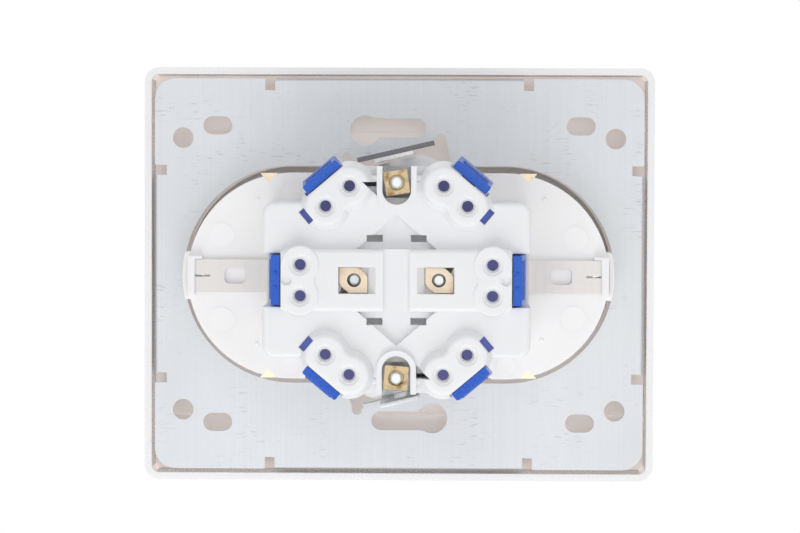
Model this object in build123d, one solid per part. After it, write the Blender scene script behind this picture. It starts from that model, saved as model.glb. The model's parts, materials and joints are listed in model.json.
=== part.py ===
from build123d import *
import os
from dataclasses import dataclass
from math import hypot

os.makedirs("parts", exist_ok=True)

# Frame of the model: the wall plane is Y = 0, +Y goes into the wall, +Z is up.
# Sketches are drawn as seen from behind: u to the right (-X), v up (+Z), depth along +Y.

# Cover frame
frame_width = 104.2
frame_height = 84.5
frame_front = -10.0
frame_side_wall = 1.4
frame_front_wall = 2.2
frame_corner_radius = 3.0
frame_edge_radius = 1.6
frame_post_radius = 2.0
frame_post_web = 0.9
frame_post_u = 30.0
frame_post_inset = 8.75
frame_rib_v = 30.0
frame_rib_thickness = 1.2
frame_rib_rear = -5.5

# Mounting plate
plate_gap_u = 0.7
plate_gap_v = 0.85
plate_thickness = 1.0
plate_corner_radius = 4.2
cutout_gap = 1.45
fixing_hole_radius = 2.1
fixing_hole_inset_u = 5.8
fixing_hole_inset_v = 12.15
oblong_length = 5.9
oblong_width = 3.7
oblong_inset_u = 12.9
oblong_inset_v = 9.6
box_screw_pitch = 60.0
keyhole_radius = 3.1
keyhole_slot_width = 3.85
keyhole_round_u = -6.9
keyhole_round_drop = 0.55
keyhole_slot_end_u = 3.6
bent_edge_depth = 5.0
bent_edge_radius = 0.95
edge_lap = 0.5
long_edge_half = 25.4
short_edge_half = 20.3
relief_width = 2.0
relief_depth = 2.4

# Wells and the moulded front
well_pitch = 43.5
well_radius = 19.5
well_depth = 17.5
well_wall = 1.3
well_floor = 1.9
insert_front = -11.4
insert_flange_overlap = 2.0
insert_clearance = 1.2
pin_pitch = 19.0
pin_hole_radius = 2.6
guide_rib_width = 4.8
guide_rib_height = 2.0
guide_rib_setback = 2.5
clip_channel_width = 6.4
clip_channel_depth = 1.4
end_bump_width = 9.6
end_bump_setback = 2.0
end_bump_gap = 0.15
insert_edge = 0.7
rear_notch_offset = 4.5
rear_notch_size = 3.4
rear_notch_inset = 0.9
rear_notch_depth = 3.0
rear_notch_corner = 50

# Rear housing
block_end_margin = 4.5
block_height = 30.6
block_rear = 27.2
lobe_rear = 30.0
block_corner_radius = 2.4
soft_edge = 0.9
band_width = 46.0
band_height = 12.2
band_rear = 29.6
valley_width = 5.2
valley_depth = 1.1
gable_half_width = 7.9
gable_apex = 12.9
gable_depth = 1.5
window_shift = 0.1
window_width = 5.8
window_height = 5.2
window_depth = 3.2
window_slope = 1.8
window_corner_depth = 3.0
rim_radius = 16.5
rim_reach = 25.3
rim_half_width = 8.2
rim_thickness = 2.0
ridge_front_v = 19.2
ridge_back_v = 20.5
ledge_v = 22.3
ledge_rear = 24.6
guide_half_width = 7.7
ridge_edge = 0.4
gap_tip_v = 16.6
core_half_width = 8.6
dimple_offset = 2.6
dimple_radius = 1.0
dimple_depth = 0.6
gable_slot_u = 4.3
gable_slot_v = 8.14
lobe_slot_along = 4.2
lobe_slot_out = 0.9

# Push-in terminals
wire_pitch = 6.1
wire_hole_radius = 1.1
mouth_radius = 2.55
mouth_depth = 0.4
funnel_radius = 1.75
throat_radius = 1.7
funnel_depth = 1.4
lobe_radius = 3.75
lobe_skirt = 1.1
lobe_waist = 0.8
earth_terminal_u = 18.8
live_terminal_u = 11.53
live_terminal_v = 16.47
live_terminal_angle = 49.8
chamber_half_length = 4.9
chamber_half_width = 2.6
chamber_roof = 26.0
slot_length = 3.1
slot_width = 1.35
slot_depth = 4.4

# Release levers
lever_gap = 0.2
lever_thickness = 1.75
lever_flare = 1.15
lever_edge = 0.4
lever_side_room = 0.45
lever_room_depth = 6.2
live_lever_length = 8.4
earth_lever_length = 9.75
lever_front = 15.0
lever_rear = 28.6
lever_travel = 1.8
tongue_half_width = 1.7
tongue_front = 19.0
tongue_thickness = 1.5
tongue_reach = 0.3

# Metal strip and clearances
strip = 0.8
spring_strip = 0.4
spring_crown = 1.1
spring_bend = 0.5
spring_lean = 1.1
spring_foot = 3.6
wall_gap = 0.1
fit = 0.3
strap_width = 6.6
strap_thickness = 0.9
clip_height = 12.0
clip_outset = 0.9
clip_bow = 1.9
clip_bow_end = 0.6
finger_thickness = 0.5
finger_spread = 1.45
boss_offset = 11.2
boss_length = 4.2
boss_width = 3.2
boss_corner = 0.9
slit_length = 4.2
slit_width = 0.4
pin_sleeve_inner = 2.3
pin_sleeve_wall = 0.5
pin_sleeve_length = 11.0
pin_slit_width = 0.6
pin_slit_start = 3.0
pin_pad_radius = 3.2
bar_gap = 0.5
bar_width = 4.4
post_height = 12.0

# Face screws and their leaf nuts
face_screw_inset = 13.45
face_screw_radius = 1.2
face_screw_tip_radius = 0.85
face_screw_head_radius = 2.7
face_screw_head_height = 1.8
head_edge = 0.7
recess_length = 3.4
recess_width = 0.75
recess_depth = 0.9
tip_edge = 0.25
leaf_hole_radius = 1.35
leaf_length = 8.2
leaf_width = 5.0
leaf_thickness = 0.9
leaf_turn = -38.0

# Spreader claws
claw_screw_v = 19.1
claw_screw_radius = 1.45
claw_screw_tip_radius = 1.05
claw_screw_head_radius = 2.6
claw_screw_head_height = 2.0
claw_screw_rear = 28.6
claw_screw_tip = 1.4
running_gap = 0.08
pillar_radius = 3.2
pillar_front = 6.5
screw_room_margin = 2.8
screw_room_height = 8.0
pocket_floor = 19.5
pocket_width = 5.6
pocket_wall = 1.1
pocket_rear = 28.2
pocket_step_v = 16.1
pocket_step_rear = 25.4
nut_side = 4.7
nut_thickness = 2.2
nut_rear = 27.9
top_nut_turn = 9.0
bottom_nut_turn = -4.0
lug_left = (-9.2, 23.7)
lug_right = (7.65, 27.6)
lug_rear = 2.5
lug_end = 0.6
claw_thickness = 0.8
claw_gap = 0.15
claw_front = 0.6
claw_rear = 24.0
claw_left = -4.1
claw_right = 3.7
tooth_count = 5
tooth_depth = 0.45
claw_slot_half_width = 1.3
claw_slot_front = 6.0
claw_slot_rear = 17.0
relief_circle_radius = 1.0

# Derived places
plate_width = frame_width - 2 * (frame_side_wall + plate_gap_u)
plate_height = frame_height - 2 * (frame_side_wall + plate_gap_v)
fixing_hole_u = plate_width / 2 - fixing_hole_inset_u
fixing_hole_v = plate_height / 2 - fixing_hole_inset_v
oblong_u = plate_width / 2 - oblong_inset_u
oblong_v = plate_height / 2 - oblong_inset_v
frame_post_v = frame_height / 2 - frame_post_inset
block_width = well_pitch + 2 * block_end_margin
floor_front = insert_front + well_depth
housing_front = floor_front + well_floor
body_radius = well_radius + well_wall
cutout_radius = body_radius + cutout_gap
strap_rear = housing_front + strap_thickness
bar_front = strap_rear + bar_gap
well_u = well_pitch / 2
face_screw_u = well_u - face_screw_inset
window_centre_u = face_screw_u + window_shift
pin_v = pin_pitch / 2
lever_inner = lobe_radius + lever_gap
eps = 0.05


def seen(depth):
    """Sketch plane at a depth behind the wall plane, as seen from behind."""
    return Plane((0, depth, 0), x_dir=(-1, 0, 0), z_dir=(0, 1, 0))


def prism(sketch, start, end):
    """Solid of a sketch between two depths."""
    return extrude(seen(start) * sketch, end - start)


def stadium(radius):
    """Outline that goes round both wells at one distance from their centres."""
    return SlotCenterToCenter(well_pitch, 2 * radius)


def box_outline(u0, u1, v0, v1):
    """Rectangle between two corners, as seen from behind."""
    return Pos((u0 + u1) / 2, (v0 + v1) / 2) * Rectangle(u1 - u0, v1 - v0)


def box(u0, u1, v0, v1, start, end):
    """Cuboid between two corners, as seen from behind."""
    return prism(box_outline(u0, u1, v0, v1), start, end)


def soften_rear(solid, radius):
    """Round the edges of the rearmost face."""
    return fillet(solid.faces().sort_by(Axis.Y)[-1].edges(), radius)


def both(shape):
    """The shape and its half-turn copy: the unit is the same upside down."""
    return [shape, Rot(Y=180) * shape]


@dataclass(frozen=True)
class Terminal:
    """One pair of push-in wire entries with its lever."""

    name: str
    u: float
    v: float
    outward: float
    lever_length: float

    @property
    def turn(self):
        """Turn of a sketch whose +y points out of the housing."""
        return Pos(self.u, self.v) * Rot(Z=self.outward - 90)

    def place(self, shape):
        """Carry a solid drawn round the origin, z rearwards, to this terminal."""
        return seen(0).location * Pos(self.u, self.v, 0) * Rot(0, 0, self.outward - 90) * shape


terminals = [
    Terminal("earth_left", -earth_terminal_u, 0, 180, earth_lever_length),
    Terminal("earth_right", earth_terminal_u, 0, 0, earth_lever_length),
    Terminal("upper_left", -live_terminal_u, live_terminal_v, 180 - live_terminal_angle, live_lever_length),
    Terminal("upper_right", live_terminal_u, live_terminal_v, live_terminal_angle, live_lever_length),
    Terminal("lower_left", -live_terminal_u, -live_terminal_v, 180 + live_terminal_angle, live_lever_length),
    Terminal("lower_right", live_terminal_u, -live_terminal_v, -live_terminal_angle, live_lever_length),
]
corner_terminals = terminals[2:]

lug_run = hypot(lug_right[0] - lug_left[0], lug_right[1] - lug_left[1])
lug_angle = Vector(lug_right[0] - lug_left[0], lug_right[1] - lug_left[1]).get_angle(Vector(1, 0, 0))
lug_middle = ((lug_left[0] + lug_right[0]) / 2, (lug_left[1] + lug_right[1]) / 2)


def beside_lug(near, far, left, right, start, end):
    """Strip beside the slanted lug line: near and far lie inside it, left and right run along it."""
    outline = Pos((left + right) / 2, -(near + far) / 2) * Rectangle(right - left, far - near)
    return prism(Pos(*lug_middle) * Rot(Z=lug_angle) * outline, start, end)


# Cover frame: a shallow tray with a stadium opening and posts that bear on the plate
def make_cover_frame():
    outline = RectangleRounded(frame_width, frame_height, frame_corner_radius)
    frame = prism(outline, frame_front, 0)
    frame = fillet(frame.faces().sort_by(Axis.Y)[0].edges(), frame_edge_radius)
    cavity = RectangleRounded(
        frame_width - 2 * frame_side_wall,
        frame_height - 2 * frame_side_wall,
        frame_corner_radius - frame_side_wall,
    )
    inner_front = frame_front + frame_front_wall
    frame -= prism(cavity, inner_front, eps)
    frame -= prism(stadium(body_radius + insert_clearance), frame_front - eps, inner_front + eps)
    post = Circle(frame_post_radius) + Rectangle(frame_post_web, 3 * frame_post_radius)
    rib = Rectangle(frame_width - 2 * frame_side_wall, frame_rib_thickness)
    for v in (-1, 1):
        frame += prism(Pos(0, v * frame_rib_v) * rib, inner_front - eps, frame_rib_rear)
        for u in (-1, 1):
            spot = Pos(u * frame_post_u, v * frame_post_v)
            frame += prism(spot * post, inner_front - eps, -plate_thickness)
    return frame


# Mounting plate: blanked and bent steel
def keyhole():
    slot_left = keyhole_round_u
    slot = Pos((slot_left + keyhole_slot_end_u) / 2, 0) * SlotCenterToCenter(
        keyhole_slot_end_u - slot_left, keyhole_slot_width
    )
    entry = Pos(slot_left, -keyhole_round_drop) * Circle(keyhole_radius)
    return Pos(0, box_screw_pitch / 2) * (slot + entry)


def relief(u, v, turn):
    """Round-ended notch at the end of a bent edge, running in from the rim."""
    slot = Pos(0, -relief_depth / 2) * Rectangle(relief_width, relief_depth)
    slot += Pos(0, relief_width / 2 - relief_depth) * Circle(relief_width / 2)
    return Pos(u, v) * Rot(Z=turn) * slot


def bent_edge(half_length, reach, turn):
    """Edge bent towards the front, drawn at the top and turned to its side."""
    front = -bent_edge_depth - plate_thickness
    edge = box(-half_length, half_length, reach - plate_thickness, reach, front, 0)
    corner = edge.edges().filter_by(Axis.X).sort_by(lambda e: e.center().Y + e.center().Z)[-1]
    return Rot(Y=turn) * fillet(corner, bent_edge_radius)


def make_mounting_plate():
    plate = prism(RectangleRounded(plate_width, plate_height, plate_corner_radius), -plate_thickness, 0)
    half_w = plate_width / 2
    half_h = plate_height / 2
    edges = Rectangle(plate_width + 2, 2 * short_edge_half) + Rectangle(2 * long_edge_half, plate_height + 2)
    plate -= prism(edges - Rectangle(plate_width - 2 * edge_lap, plate_height - 2 * edge_lap), -2, 1)
    plate += bent_edge(long_edge_half, half_h, 0)
    plate += bent_edge(long_edge_half, half_h, 180)
    plate += bent_edge(short_edge_half, half_w, 90)
    plate += bent_edge(short_edge_half, half_w, -90)
    holes = stadium(cutout_radius)
    for u in (-1, 1):
        for v in (-1, 1):
            holes += Pos(u * fixing_hole_u, v * fixing_hole_v) * Circle(fixing_hole_radius)
            holes += Pos(u * oblong_u, v * oblong_v) * SlotOverall(oblong_length, oblong_width)
            holes += relief(u * (long_edge_half + relief_width / 2), v * half_h, 0 if v > 0 else 180)
            holes += relief(u * half_w, v * (short_edge_half + relief_width / 2), -90 if u > 0 else 90)
    claw_room = Polygon(
        (lug_left[0] - 0.9, 20),
        (lug_right[0] + 3.8, 20),
        (lug_right[0] + 1.8, lug_right[1]),
        lug_right,
        lug_left,
        (lug_left[0] - 0.9, lug_left[1]),
        align=None,
    )
    claw_room += Pos(lug_left[0] - 1.4, lug_left[1] + 0.3) * Circle(relief_circle_radius)
    claw_room += Pos(lug_right[0] + 0.9, lug_right[1] + 0.2) * Circle(relief_circle_radius)
    openings = keyhole() + claw_room
    plate -= prism(holes + openings + Rot(Z=180) * openings, -2, 1)
    half_lug = lug_run / 2 - lug_end
    lug = beside_lug(0, plate_thickness, -half_lug, half_lug, -plate_thickness, lug_rear)
    for side in both(lug):
        plate += side
    return plate


# Socket insert: two wells moulded in one piece
def make_socket_insert():
    flange_radius = body_radius + insert_clearance + insert_flange_overlap
    flange = prism(stadium(flange_radius), insert_front, frame_front)
    flange = fillet(flange.faces().sort_by(Axis.Y)[0].edges(), insert_edge)
    insert = flange + prism(stadium(body_radius), frame_front, housing_front)
    bumps = stadium(body_radius + insert_clearance - end_bump_gap) & Rectangle(frame_width, end_bump_width)
    insert += prism(bumps, frame_front + end_bump_setback, housing_front)
    for side in (-1, 1):
        centre = Pos(side * well_u, 0)
        insert -= prism(centre * Circle(well_radius), insert_front - eps, floor_front)
        for v in (-1, 1):
            rib_v = v * (well_radius - guide_rib_height / 2)
            rib = Pos(0, rib_v) * Rectangle(guide_rib_width, guide_rib_height)
            insert += prism(centre * rib, insert_front + guide_rib_setback, floor_front + eps)
            pin_hole = centre * Pos(0, v * pin_v) * Circle(pin_hole_radius)
            insert -= prism(pin_hole, floor_front - 1, housing_front + 1)
            for u in (-1, 1):
                notch_v = v * (body_radius - rear_notch_inset)
                notch = Pos(side * well_u + u * rear_notch_offset, notch_v) * Triangle(
                    a=rear_notch_size,
                    B=rear_notch_corner,
                    C=rear_notch_corner,
                    align=Align.CENTER,
                    rotation=180 if v > 0 else 0,
                )
                insert -= prism(notch, housing_front - rear_notch_depth, housing_front + 1)
            channel_u = side * well_u + v * (well_radius + clip_channel_depth / 2 - 1)
            channel = Pos(channel_u, 0) * Rectangle(clip_channel_depth + 2, clip_channel_width)
            insert -= prism(channel, floor_front - clip_height - 1, housing_front + 1)
        screw_hole = Pos(side * face_screw_u, 0) * Circle(face_screw_radius + fit)
        insert -= prism(screw_hole, floor_front - 1, housing_front + 1)
    tool_room = Pos(0, claw_screw_v) * Rectangle(2 * pillar_radius + screw_room_margin, screw_room_height)
    for room in both(prism(tool_room, frame_front + end_bump_setback, housing_front + 1)):
        insert -= room
    return insert


# Rear housing: block, lobes and band, hollow from the front for the contacts
def bar_outline(grow=0.0):
    """Outline of a brass bar: a strip between both wells and a foot under each terminal pair."""
    outline = Pos(0, pin_v) * Rectangle(well_pitch + 2 * (pin_sleeve_inner + grow), bar_width + 2 * grow)
    for side in (-1, 1):
        outline += Pos(side * well_u, pin_v) * Circle(pin_pad_radius + grow)
        reach = SlotCenterToCenter(live_terminal_v - pin_v, bar_width + 2 * grow)
        outline += Pos(side * live_terminal_u, (live_terminal_v + pin_v) / 2) * Rot(Z=90) * reach
    return outline


def lobe_outline(t, radius):
    """Ring round each wire hole, closed by a straight wall on the lever's side."""
    outline = Pos(0, lobe_waist / 2) * Rectangle(wire_pitch, 2 * radius - lobe_waist)
    for side in (-1, 1):
        outline += Pos(side * wire_pitch / 2, 0) * Circle(radius)
    return t.turn * outline


def make_lobe(t):
    """Raised wire entry of a corner terminal on its tower."""
    foot = lobe_outline(t, lobe_radius + lobe_skirt)
    top = seen(lobe_rear) * lobe_outline(t, lobe_radius)
    lobe = soften_rear(loft([seen(block_rear) * foot, top], ruled=True), soft_edge)
    return prism(foot, housing_front, block_rear) + lobe


def make_nut_guide():
    """Upright wall, ridge and ledge round the upper claw nut."""
    half = pocket_width / 2 + pocket_wall
    centre_v = claw_screw_v - 1.5
    wall = Pos(0, centre_v) * Circle(half) + box_outline(-half, half, centre_v, ledge_v)
    guide = prism(wall, housing_front, pocket_rear)
    ridge = box(-guide_half_width, guide_half_width, ridge_front_v, ridge_back_v, housing_front, block_rear)
    guide += soften_rear(ridge, ridge_edge)
    guide += box(-guide_half_width, guide_half_width, ridge_back_v - 0.4, ledge_v, housing_front, ledge_rear)
    pillar = Pos(0, claw_screw_v) * Circle(pillar_radius)
    return guide + prism(pillar, pillar_front, pocket_floor)


def make_nut_room():
    """Room of the upper claw nut, its screw and the claw, cut from the housing."""
    half = pocket_width / 2
    centre_v = claw_screw_v - 1.5
    pocket = Pos(0, centre_v) * Circle(half) + box_outline(-half, half, centre_v, ledge_v + 1)
    deep = pocket & box_outline(-half, half, pocket_step_v, ledge_v + 1)
    room = prism(pocket, pocket_step_rear, lobe_rear + 1) + prism(deep, pocket_floor, lobe_rear + 1)
    bore = Pos(0, claw_screw_v) * Circle(claw_screw_radius + running_gap)
    room += prism(bore, 0, pocket_floor + 1)
    head_room = Pos(0, claw_screw_v) * Circle(claw_screw_head_radius + running_gap)
    room += prism(head_room, 0, pillar_front)
    side = half + pocket_wall
    for u in (-1, 1):
        gap = Polygon(
            (u * side, ridge_front_v),
            (u * (guide_half_width - 1), ridge_front_v),
            (u * side, gap_tip_v),
            align=None,
        )
        room += prism(gap, pocket_floor, lobe_rear)
    inside = plate_thickness + 2 * claw_gap + claw_thickness
    return room + beside_lug(-10, inside + fit, -30, 30, housing_front - 1, claw_rear + fit)


def cut_wire_entries(body, t):
    """Cut a terminal's two funnels, its chamber and the way of the lever's tongue."""
    for side in (-1, 1):
        centre = t.turn * Pos(side * wire_pitch / 2, 0)
        body -= prism(centre * Circle(wire_hole_radius), chamber_roof - 1, lobe_rear + 1)
        axis = Pos(side * wire_pitch / 2, 0, lobe_rear)
        body -= t.place(axis * Cone(funnel_radius, mouth_radius, 2 * mouth_depth))
        funnel = Cone(wire_hole_radius, 2 * throat_radius - wire_hole_radius, 2 * funnel_depth)
        body -= t.place(axis * funnel)
    chamber = t.turn * Rectangle(2 * chamber_half_length, 2 * chamber_half_width)
    body -= prism(chamber, housing_front - eps, chamber_roof)
    tongue_room = t.turn * Pos(0, 4) * Rectangle(2 * (tongue_half_width + fit), 4)
    tongue_rear = tongue_front + tongue_thickness
    return body - prism(tongue_room, tongue_front - lever_travel - fit, tongue_rear + fit)


def cut_windows(body):
    """Cut the two windows of the leaf nuts, each with a slope towards the middle."""
    seat = lobe_rear - window_depth
    for u in (-1, 1):
        centre = Pos(u * window_centre_u, 0)
        window = centre * Rectangle(window_width, window_height)
        wide = Pos(-u * window_slope / 2, 0) * centre * Rectangle(window_width + window_slope, window_height)
        body -= prism(window, seat, lobe_rear + 1)
        body -= loft([seen(seat + leaf_thickness) * window, seen(lobe_rear) * wide])
        corner = Triangle(a=window_width * 0.3, b=window_height * 0.6, C=90, align=(Align.MIN, Align.MIN))
        corner = Pos(-window_width / 2, -window_height / 2) * corner
        corner = centre * (corner if u < 0 else Rot(Z=180) * corner)
        body -= prism(corner, seat - window_corner_depth, seat + eps)
        body -= prism(Pos(u * face_screw_u, 0) * Circle(face_screw_radius + fit), 0, lobe_rear)
    return body


def make_rear_housing():
    block_outline = RectangleRounded(block_width, block_height, block_corner_radius)
    block = prism(block_outline, housing_front, block_rear)
    body = soften_rear(block, soft_edge)
    body += box(-core_half_width, core_half_width, -ridge_front_v, ridge_front_v, housing_front, block_rear)
    body += prism(
        RectangleRounded(2 * live_terminal_u, 2 * live_terminal_v, 1), housing_front, pocket_floor + 2
    )
    for t in corner_terminals:
        body += make_lobe(t)
    band = prism(RectangleRounded(band_width, band_height, 1.6), block_rear - 1, band_rear)
    body += soften_rear(band, soft_edge)
    for t in terminals[:2]:
        top = prism(lobe_outline(t, lobe_radius), band_rear - 1, lobe_rear)
        body += soften_rear(top, lobe_rear - band_rear - eps)
    for side in both(make_nut_guide()):
        body += side
    disc = Pos(0, rim_reach - rim_radius) * Circle(rim_radius)
    rim = disc & box_outline(-rim_half_width, rim_half_width, live_terminal_v, rim_reach + 1)
    for side in both(prism(rim, housing_front, housing_front + rim_thickness)):
        body += side
    for side in both(make_nut_room()):
        body -= side

    gable = Polygon((0, gable_apex), (-gable_half_width, 6), (gable_half_width, 6), align=None)
    for side in both(prism(gable, block_rear - gable_depth, block_rear + 1)):
        body -= side
    valley = Rectangle(valley_width, 2 * gable_apex - 8)
    body -= prism(valley, band_rear - valley_depth, lobe_rear + 1)
    for u in (-1, 1):
        dimple = Pos(u * (earth_terminal_u + dimple_offset), 0) * Circle(dimple_radius)
        body -= prism(dimple, lobe_rear - dimple_depth, lobe_rear + 1)
        for v in (-1, 1):
            test_slot = Pos(u * gable_slot_u, v * gable_slot_v) * Rectangle(slot_length, slot_width)
            body -= prism(test_slot, block_rear - slot_depth, block_rear + 1)
            contact_room = Pos(u * well_u, v * pin_v) * Circle(pin_pad_radius)
            body -= prism(contact_room, housing_front - eps, bar_front + strip + pin_sleeve_length + 1)
    body = cut_windows(body)
    for side in both(prism(bar_outline(fit), housing_front - eps, bar_front + strip + fit)):
        body -= side
    strap_room = Rectangle(block_width + 4, strap_width + 2 * fit)
    body -= prism(strap_room, housing_front - eps, strap_rear)
    for t in terminals:
        body = cut_wire_entries(body, t)
    for t in corner_terminals:
        outside = 1 if t.u * t.v >= 0 else -1
        test_slot = t.turn * Pos(outside * (wire_pitch / 2 + lobe_slot_along), lobe_slot_out)
        body -= prism(test_slot * Rectangle(slot_width, slot_length), block_rear - slot_depth, lobe_rear + 1)
        half = t.lever_length / 2 + lever_side_room
        lever_room = t.turn * box_outline(-half, half, lobe_radius, lobe_radius + lever_room_depth)
        body -= prism(lever_room, housing_front + 3, lobe_rear + 1)
    for side in (-1, 1):
        middle = earth_terminal_u + lobe_radius + lever_room_depth / 2
        room = Pos(side * middle, 0) * Rectangle(lever_room_depth, earth_lever_length + 2 * lever_side_room)
        body -= prism(room, lever_front - lever_travel - 1, lobe_rear + 1)
    return body


# Release levers: a plate outside the wall and a tongue between the two wires
def make_release_lever(t):
    outer = lever_inner + lever_thickness
    profile = Polygon(
        (lever_inner, lever_front),
        (outer + lever_flare, lever_front),
        (outer, lever_rear),
        (lever_inner, lever_rear),
        align=None,
    )
    plate = extrude(Plane.YZ.offset(-t.lever_length / 2) * profile, t.lever_length)
    plate = fillet(plate.faces().sort_by(Axis.Y)[-1].edges(), lever_edge)
    reach = lever_inner + eps - tongue_reach
    tongue = Pos(0, tongue_reach + reach / 2, tongue_front + tongue_thickness / 2) * Box(
        2 * tongue_half_width, reach, tongue_thickness
    )
    return t.place(plate + tongue)


# Clamp springs: bent leaf, split where the lever's tongue works
def make_clamp_spring(t):
    back = chamber_half_width - wall_gap - spring_strip / 2
    roof = chamber_roof - spring_crown - 0.5
    path = Polyline(
        (back, housing_front + 3),
        (back, roof),
        (back - spring_crown, roof + spring_crown / 2),
        (-spring_lean, tongue_front - spring_foot),
    )
    profile = trace(fillet(path.vertices()[1:3], spring_bend), spring_strip)
    half = chamber_half_length - fit
    leaf = extrude(Plane.YZ.offset(-half) * profile, 2 * half)
    split = Pos(0, 0, tongue_front - lever_travel - fit) * Box(
        2 * (tongue_half_width + fit),
        2 * chamber_half_width,
        lever_rear,
        align=(Align.CENTER, Align.MIN, Align.MIN),
    )
    return t.place(leaf - split)


# Brass bars, pin sleeves and earth strap
def contact_post(t):
    """Upright of a bar that the wire is pressed against."""
    shape = Pos(0, wall_gap - chamber_half_width, bar_front) * Box(
        2 * chamber_half_length - 1, strip, post_height, align=(Align.CENTER, Align.MIN, Align.MIN)
    )
    return t.place(shape)


def make_busbar(side):
    bar = prism(bar_outline(), bar_front, bar_front + strip)
    for u in (-1, 1):
        bar -= prism(Pos(u * well_u, pin_v) * Circle(pin_sleeve_inner), bar_front - 1, bar_front + 2)
    if side < 0:
        bar = Rot(Y=180) * bar
    for t in corner_terminals:
        if t.v * side > 0:
            bar += contact_post(t)
    return bar


def make_pin_contact(u, v):
    base = bar_front + strip
    sleeve = Circle(pin_sleeve_inner + pin_sleeve_wall) - Circle(pin_sleeve_inner)
    shape = prism(Pos(u, v) * sleeve, base, base + pin_sleeve_length)
    for turn in (45, 135):
        slit = Pos(u, v) * Rot(Z=turn) * Rectangle(4 * pin_sleeve_inner, pin_slit_width)
        shape -= prism(slit, base + pin_slit_start, base + pin_sleeve_length + 1)
    return shape


def side_of(t):
    return 1 if t.u > 0 else -1


def make_clip(centre_u, edge):
    """Side contact of a well: a leg along the wall with two bowed fingers."""
    outer = centre_u + edge * (well_radius + clip_outset)
    inner = outer - edge * strip
    leg_front = floor_front - clip_height + 1
    half = clip_channel_width / 2 - 0.5
    clip = box(*sorted((outer, inner)), -half, half, leg_front, strap_rear)
    bow = Polyline(
        (inner, leg_front + clip_bow_end),
        (inner - edge * clip_bow, floor_front - clip_height / 2),
        (inner, floor_front - 2 * clip_bow_end),
    )
    across = Plane((0, 0, 0), x_dir=(-1, 0, 0), z_dir=(0, 0, -1))
    finger = extrude(across * trace(bow, finger_thickness), 1.0, both=True)
    for v in (-finger_spread, finger_spread):
        clip += Pos(0, 0, v) * finger
    return clip


def make_earth_strap():
    end_u = well_u + well_radius + clip_outset
    strap = box(-end_u, end_u, -strap_width / 2, strap_width / 2, housing_front, strap_rear)
    for side in (-1, 1):
        cuts = Pos(side * (well_u + boss_offset), 0) * RectangleRounded(boss_length, boss_width, boss_corner)
        cuts += Pos(side * face_screw_u, 0) * Circle(face_screw_radius + fit)
        cuts += Pos(side * end_u, 0) * Rectangle(2 * slit_length, slit_width)
        for edge in (-1, 1):
            strap += make_clip(side * well_u, edge)
        strap -= prism(cuts, 0, strap_rear + 1)
    for t in terminals[:2]:
        strap += contact_post(t)
        reach = sorted((t.u, t.u - side_of(t) * (chamber_half_width - wall_gap)))
        strap += box(*reach, -strap_width / 2, strap_width / 2, strap_rear - eps, bar_front + strip)
    return strap


# Fasteners
def make_leaf_nut(side):
    radius = (leaf_length ** 2 + leaf_width ** 2) / (4 * leaf_width)
    shift = radius - leaf_width / 2
    leaf = Pos(0, shift) * Circle(radius) & Pos(0, -shift) * Circle(radius)
    leaf = Rot(Z=leaf_turn) * leaf & Rectangle(window_width - fit, window_height - fit)
    leaf = Pos(side * window_centre_u, 0) * leaf - Pos(side * face_screw_u, 0) * Circle(leaf_hole_radius)
    seat = lobe_rear - window_depth
    return prism(leaf, seat, seat + leaf_thickness)


def cross_recess():
    return Rectangle(recess_length, recess_width) + Rectangle(recess_width, recess_length)


def make_face_screw(side, tip_depth):
    centre = Pos(side * face_screw_u, 0)
    head = prism(centre * Circle(face_screw_head_radius), floor_front - face_screw_head_height, floor_front)
    head = chamfer(head.faces().sort_by(Axis.Y)[0].edges(), head_edge)
    head -= prism(centre * cross_recess(), 0, floor_front - recess_depth)
    shank = prism(centre * Circle(face_screw_radius), floor_front - eps, tip_depth)
    shank = chamfer(shank.faces().sort_by(Axis.Y)[-1].edges(), face_screw_radius - face_screw_tip_radius)
    return head + shank


def make_claw_screw():
    centre = Pos(0, claw_screw_v)
    head_front = pillar_front - claw_screw_head_height
    head = prism(centre * Circle(claw_screw_head_radius), head_front, pillar_front)
    head = chamfer(head.faces().sort_by(Axis.Y)[0].edges(), head_edge)
    head -= prism(centre * cross_recess(), 0, pillar_front - recess_depth)
    tip_front = claw_screw_rear - claw_screw_tip
    shank = prism(centre * Circle(claw_screw_radius), pillar_front - eps, tip_front)
    tip = prism(centre * Circle(claw_screw_tip_radius), tip_front - eps, claw_screw_rear)
    return head + shank + chamfer(tip.faces().sort_by(Axis.Y)[-1].edges(), tip_edge)


def make_claw_nut(turn):
    square = Pos(0, claw_screw_v) * Rot(Z=turn) * (
        RectangleRounded(nut_side, nut_side, 0.35) - Circle(claw_screw_radius + running_gap)
    )
    return prism(square, nut_rear - nut_thickness, nut_rear)


def make_claw():
    near = plate_thickness + claw_gap
    far = near + claw_thickness
    blade = beside_lug(near, far, claw_left, claw_right, claw_front, claw_rear)
    middle = (claw_left + claw_right) / 2
    slot_left = middle - claw_slot_half_width
    slot_right = middle + claw_slot_half_width
    blade -= beside_lug(near - 1, far + 1, slot_left, slot_right, claw_slot_front, claw_slot_rear)
    local = seen(0).location * Pos(*lug_middle, 0) * Rot(0, 0, lug_angle)
    notch = Rot(Z=45) * Rectangle(1.4 * tooth_depth, 1.4 * tooth_depth)
    for i in range(1, tooth_count):
        along = claw_left + i * (claw_right - claw_left) / tooth_count
        face = Plane((along, 1 - near, claw_rear), x_dir=(1, 0, 0), z_dir=(0, -1, 0)) * notch
        blade -= local * extrude(face, claw_thickness + 2)
    return blade


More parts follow.
